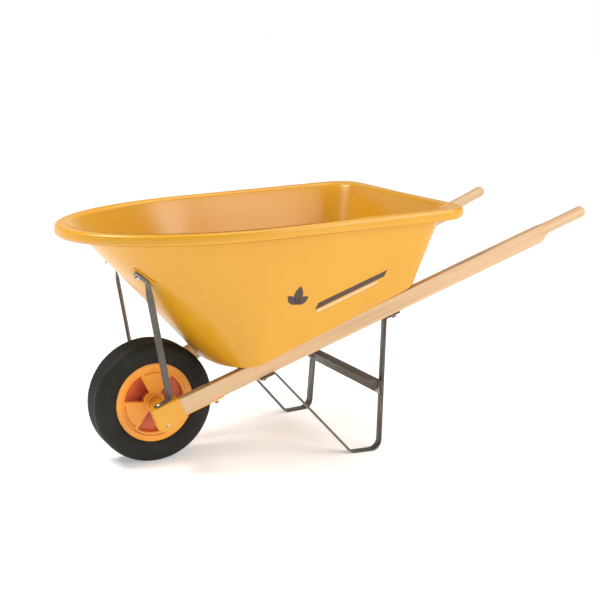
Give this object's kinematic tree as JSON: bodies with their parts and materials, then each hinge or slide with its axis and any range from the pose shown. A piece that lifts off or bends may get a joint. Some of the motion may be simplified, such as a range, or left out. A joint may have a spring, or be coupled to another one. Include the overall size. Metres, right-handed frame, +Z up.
{
  "type": "wheelbarrow",
  "caption": "Wheelbarrow with a moulded plastic tub on two wooden rails, one wheel turning on a fixed axle, bent strap legs and flat nose struts.",
  "frame": {"origin": "on the ground, under the middle of the overall length and width", "axes": "+X towards the grips, -X towards the nose and the wheel, +Y towards the side whose pieces are named right, +Z up"},
  "size_m": [1.472, 0.694, 0.6799],
  "materials": {
    "tub_plastic": "moulded polyethylene, satin, warm yellow",
    "hub_plastic": "moulded plastic, satin, amber orange",
    "bracket_plastic": "moulded plastic, satin, amber",
    "rail_wood": "planed pale hardwood, clear matt coat",
    "tyre_rubber": "solid black rubber, lightly ribbed",
    "strap_steel": "dark bronze-grey paint, satin",
    "zinc_steel": "zinc plated",
    "axle_steel": "bright drawn bar",
    "bush_plastic": "natural nylon"
  },
  "bodies": {
    "frame": {"tub": "tub_plastic", "cross_brace": "strap_steel", "axle": "axle_steel", "thrust_washers": "zinc_steel", "rail_left": "rail_wood", "axle_bracket_left": "bracket_plastic", "leg_left": "strap_steel", "strut_left": "strap_steel", "rail_right": "rail_wood", "axle_bracket_right": "bracket_plastic", "leg_right": "strap_steel", "strut_right": "strap_steel", "brace_bolts": "zinc_steel", "brace_washers": "zinc_steel", "brace_nuts": "zinc_steel", "bracket_bolts": "zinc_steel", "bracket_washers": "zinc_steel", "bracket_nuts": "zinc_steel", "strut_foot_bolts": "zinc_steel", "strut_foot_washers": "zinc_steel", "strut_foot_nuts": "zinc_steel", "strut_top_bolts": "zinc_steel", "strut_top_washers": "zinc_steel", "strut_top_nuts": "zinc_steel", "tray_bolts": "zinc_steel", "tray_washers": "zinc_steel", "tray_nuts": "zinc_steel"},
    "wheel": {"tyre": "tyre_rubber", "wheel_hub": "hub_plastic", "hub_bushes": "bush_plastic"}
  },
  "joints": [
    {"name": "wheel_spin", "type": "hinge", "parent": "frame", "child": "wheel", "pos_m": [-0.502, 0, 0.165], "axis": [0, 1, 0], "continuous": true}
  ]
}
